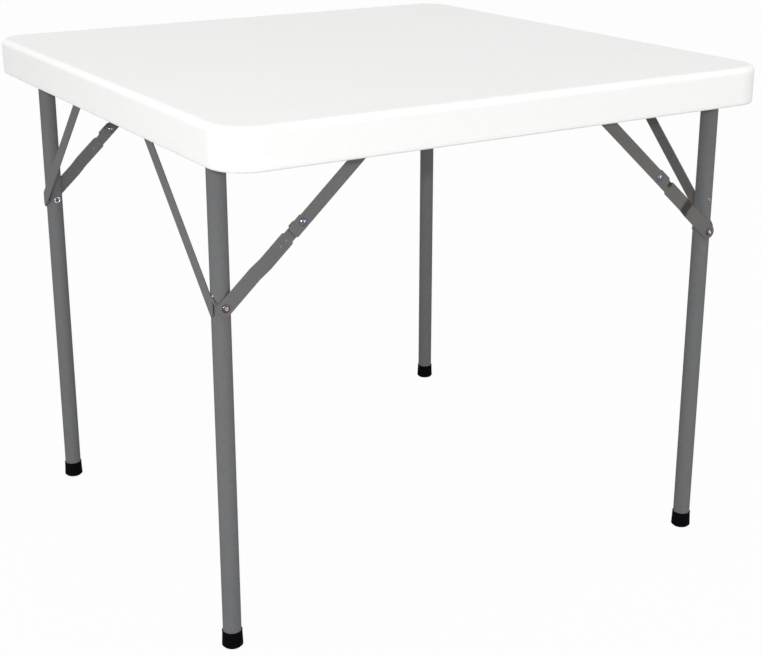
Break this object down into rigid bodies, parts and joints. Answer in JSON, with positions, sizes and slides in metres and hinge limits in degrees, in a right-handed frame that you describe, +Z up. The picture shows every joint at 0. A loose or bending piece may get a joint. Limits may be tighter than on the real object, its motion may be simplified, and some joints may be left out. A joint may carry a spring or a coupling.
{
  "type": "folding card table",
  "caption": "Square folding card table: a hollow moulded top with a rim, on tubular leg frames that fold flat under it on hinged lock braces.",
  "frame": {"origin": "on the floor under the middle of the top, with the legs down", "axes": "+Z up, +X from the left leg frame to the right one, +Y from front to rear"},
  "size_m": [0.86, 0.86, 0.74],
  "materials": {
    "moulded_top": "fine moulded grain",
    "tube_steel": "satin powder coat",
    "brace_steel": "satin powder coat",
    "bracket_steel": "satin powder coat",
    "foot": "moulded, matt",
    "plug": "moulded",
    "rivet": "zinc plated",
    "washer": "zinc plated",
    "screw": "zinc plated"
  },
  "bodies": {
    "table": {"table_top": "moulded_top", "clamp_screws": "screw", "bracket_screws": "screw", "bracket_rivets": "rivet", "pivot_clamp_left_front": "bracket_steel", "brace_bracket_left_front": "bracket_steel", "pivot_clamp_left_rear": "bracket_steel", "brace_bracket_left_rear": "bracket_steel", "pivot_clamp_right_front": "bracket_steel", "brace_bracket_right_front": "bracket_steel", "pivot_clamp_right_rear": "bracket_steel", "brace_bracket_right_rear": "bracket_steel"},
    "left_frame": {"cross_tube_left": "tube_steel", "cross_tube_plugs_left": "plug", "leg_rivets_left": "rivet", "leg_washers_left": "washer", "leg_left_front": "tube_steel", "foot_cap_left_front": "foot", "side_brace_left_front": "brace_steel", "leg_left_rear": "tube_steel", "foot_cap_left_rear": "foot", "side_brace_left_rear": "brace_steel"},
    "left_front_upper": {"upper_link_left_front": "brace_steel", "mid_rivet_head_left_front": "rivet"},
    "left_front_lower": {"lower_link_left_front": "brace_steel", "mid_rivet_tail_left_front": "rivet"},
    "left_rear_upper": {"upper_link_left_rear": "brace_steel", "mid_rivet_head_left_rear": "rivet"},
    "left_rear_lower": {"lower_link_left_rear": "brace_steel", "mid_rivet_tail_left_rear": "rivet"},
    "right_frame": {"cross_tube_right": "tube_steel", "cross_tube_plugs_right": "plug", "leg_rivets_right": "rivet", "leg_washers_right": "washer", "leg_right_front": "tube_steel", "foot_cap_right_front": "foot", "side_brace_right_front": "brace_steel", "leg_right_rear": "tube_steel", "foot_cap_right_rear": "foot", "side_brace_right_rear": "brace_steel"},
    "right_front_upper": {"upper_link_right_front": "brace_steel", "mid_rivet_head_right_front": "rivet"},
    "right_front_lower": {"lower_link_right_front": "brace_steel", "mid_rivet_tail_right_front": "rivet"},
    "right_rear_upper": {"upper_link_right_rear": "brace_steel", "mid_rivet_head_right_rear": "rivet"},
    "right_rear_lower": {"lower_link_right_rear": "brace_steel", "mid_rivet_tail_right_rear": "rivet"}
  },
  "joints": [
    {"name": "left_fold", "type": "hinge", "parent": "table", "child": "left_frame", "pos_m": [-0.3875, 0, 0.702], "axis": [0, -1, 0], "range_deg": [0, 90]},
    {"name": "left_front_upper_turn", "type": "hinge", "parent": "table", "child": "left_front_upper", "pos_m": [-0.152, -0.3307, 0.702], "axis": [0, -1, 0], "range_deg": [-43, 0]},
    {"name": "left_front_lower_turn", "type": "hinge", "parent": "left_frame", "child": "left_front_lower", "pos_m": [-0.3875, -0.3252, 0.49], "axis": [0, -1, 0], "range_deg": [0, 49]},
    {"name": "left_rear_upper_turn", "type": "hinge", "parent": "table", "child": "left_rear_upper", "pos_m": [-0.152, 0.3307, 0.702], "axis": [0, -1, 0], "range_deg": [-43, 0]},
    {"name": "left_rear_lower_turn", "type": "hinge", "parent": "left_frame", "child": "left_rear_lower", "pos_m": [-0.3875, 0.3252, 0.49], "axis": [0, -1, 0], "range_deg": [0, 49]},
    {"name": "right_fold", "type": "hinge", "parent": "table", "child": "right_frame", "pos_m": [0.375, 0, 0.702], "axis": [0, 1, 0], "range_deg": [0, 90]},
    {"name": "right_front_upper_turn", "type": "hinge", "parent": "table", "child": "right_front_upper", "pos_m": [0.1395, -0.3917, 0.702], "axis": [0, 1, 0], "range_deg": [-43, 0]},
    {"name": "right_front_lower_turn", "type": "hinge", "parent": "right_frame", "child": "right_front_lower", "pos_m": [0.375, -0.3862, 0.49], "axis": [0, 1, 0], "range_deg": [0, 49]},
    {"name": "right_rear_upper_turn", "type": "hinge", "parent": "table", "child": "right_rear_upper", "pos_m": [0.1395, 0.3917, 0.702], "axis": [0, 1, 0], "range_deg": [-43, 0]},
    {"name": "right_rear_lower_turn", "type": "hinge", "parent": "right_frame", "child": "right_rear_lower", "pos_m": [0.375, 0.3862, 0.49], "axis": [0, 1, 0], "range_deg": [0, 49]}
  ],
  "couplings": [
    {"joint": "left_front_upper_turn", "follows": "left_fold", "ratio": -0.4666},
    {"joint": "left_front_lower_turn", "follows": "left_fold", "ratio": 0.5334},
    {"joint": "left_rear_upper_turn", "follows": "left_fold", "ratio": -0.4666},
    {"joint": "left_rear_lower_turn", "follows": "left_fold", "ratio": 0.5334},
    {"joint": "right_front_upper_turn", "follows": "right_fold", "ratio": -0.4666},
    {"joint": "right_front_lower_turn", "follows": "right_fold", "ratio": 0.5334},
    {"joint": "right_rear_upper_turn", "follows": "right_fold", "ratio": -0.4666},
    {"joint": "right_rear_lower_turn", "follows": "right_fold", "ratio": 0.5334}
  ]
}
